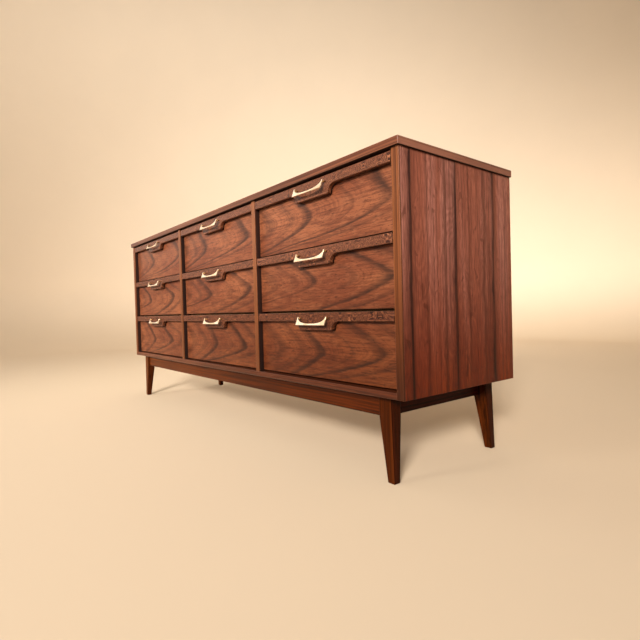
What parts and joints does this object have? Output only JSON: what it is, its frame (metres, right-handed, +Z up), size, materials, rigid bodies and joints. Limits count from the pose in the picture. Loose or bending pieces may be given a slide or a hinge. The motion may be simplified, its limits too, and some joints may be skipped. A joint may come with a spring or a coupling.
{
  "type": "dresser with drawers",
  "caption": "Long low wood-veneered dresser on a frame base with tapered legs; rows of sliding drawers, each with a shaped rail and a slanted brass pull.",
  "frame": {"origin": "on the floor, under the centre of the whole piece's bounding box, pulls and top included", "axes": "+X along the width, to the right as seen from the front; +Y from the front to the back; +Z up"},
  "size_m": [1.841, 0.478, 0.7845],
  "materials": {
    "walnut_case": "satin lacquered straight-grained walnut veneer",
    "walnut_front": "satin lacquered figured walnut veneer with smoky dark bands",
    "walnut_burl": "satin lacquered cross-figured walnut",
    "walnut_base": "satin lacquered dark solid walnut",
    "drawer_wood": "sealed pale hardwood",
    "board_wood": "raw plywood and secondary wood",
    "brass": "polished, lightly aged"
  },
  "bodies": {
    "case": {"top_panel": "walnut_case", "side_left": "walnut_case", "side_right": "walnut_case", "divider_left": "walnut_case", "divider_right": "walnut_case", "bottom_rail": "walnut_case", "bottom_panel": "board_wood", "top_front_rail": "board_wood", "back_panel": "board_wood", "dust_board_left_top": "board_wood", "dust_board_left_middle": "board_wood", "dust_board_centre_top": "board_wood", "dust_board_centre_middle": "board_wood", "dust_board_right_top": "board_wood", "dust_board_right_middle": "board_wood", "leg_front_left": "walnut_base", "leg_front_right": "walnut_base", "leg_back_left": "walnut_base", "leg_back_right": "walnut_base", "apron_front": "walnut_base", "apron_back": "walnut_base", "apron_left": "walnut_base", "apron_right": "walnut_base"},
    "drawer_left_top": {"drawer_front_left_top": "walnut_front", "drawer_box_left_top": "drawer_wood", "pull_rail_left_top": "walnut_burl", "brass_pull_left_top": "brass"},
    "drawer_left_middle": {"drawer_front_left_middle": "walnut_front", "drawer_box_left_middle": "drawer_wood", "pull_rail_left_middle": "walnut_burl", "brass_pull_left_middle": "brass"},
    "drawer_left_bottom": {"drawer_front_left_bottom": "walnut_front", "drawer_box_left_bottom": "drawer_wood", "pull_rail_left_bottom": "walnut_burl", "brass_pull_left_bottom": "brass"},
    "drawer_centre_top": {"drawer_front_centre_top": "walnut_front", "drawer_box_centre_top": "drawer_wood", "pull_rail_centre_top": "walnut_burl", "brass_pull_centre_top": "brass"},
    "drawer_centre_middle": {"drawer_front_centre_middle": "walnut_front", "drawer_box_centre_middle": "drawer_wood", "pull_rail_centre_middle": "walnut_burl", "brass_pull_centre_middle": "brass"},
    "drawer_centre_bottom": {"drawer_front_centre_bottom": "walnut_front", "drawer_box_centre_bottom": "drawer_wood", "pull_rail_centre_bottom": "walnut_burl", "brass_pull_centre_bottom": "brass"},
    "drawer_right_top": {"drawer_front_right_top": "walnut_front", "drawer_box_right_top": "drawer_wood", "pull_rail_right_top": "walnut_burl", "brass_pull_right_top": "brass"},
    "drawer_right_middle": {"drawer_front_right_middle": "walnut_front", "drawer_box_right_middle": "drawer_wood", "pull_rail_right_middle": "walnut_burl", "brass_pull_right_middle": "brass"},
    "drawer_right_bottom": {"drawer_front_right_bottom": "walnut_front", "drawer_box_right_bottom": "drawer_wood", "pull_rail_right_bottom": "walnut_burl", "brass_pull_right_bottom": "brass"}
  },
  "joints": [
    {"name": "drawer_left_top_slide", "type": "slide", "parent": "case", "child": "drawer_left_top", "axis": [0, -1, 0], "range_m": [0, 0.32]},
    {"name": "drawer_left_middle_slide", "type": "slide", "parent": "case", "child": "drawer_left_middle", "axis": [0, -1, 0], "range_m": [0, 0.32]},
    {"name": "drawer_left_bottom_slide", "type": "slide", "parent": "case", "child": "drawer_left_bottom", "axis": [0, -1, 0], "range_m": [0, 0.32]},
    {"name": "drawer_centre_top_slide", "type": "slide", "parent": "case", "child": "drawer_centre_top", "axis": [0, -1, 0], "range_m": [0, 0.32]},
    {"name": "drawer_centre_middle_slide", "type": "slide", "parent": "case", "child": "drawer_centre_middle", "axis": [0, -1, 0], "range_m": [0, 0.32]},
    {"name": "drawer_centre_bottom_slide", "type": "slide", "parent": "case", "child": "drawer_centre_bottom", "axis": [0, -1, 0], "range_m": [0, 0.32]},
    {"name": "drawer_right_top_slide", "type": "slide", "parent": "case", "child": "drawer_right_top", "axis": [0, -1, 0], "range_m": [0, 0.32]},
    {"name": "drawer_right_middle_slide", "type": "slide", "parent": "case", "child": "drawer_right_middle", "axis": [0, -1, 0], "range_m": [0, 0.32]},
    {"name": "drawer_right_bottom_slide", "type": "slide", "parent": "case", "child": "drawer_right_bottom", "axis": [0, -1, 0], "range_m": [0, 0.32]}
  ]
}
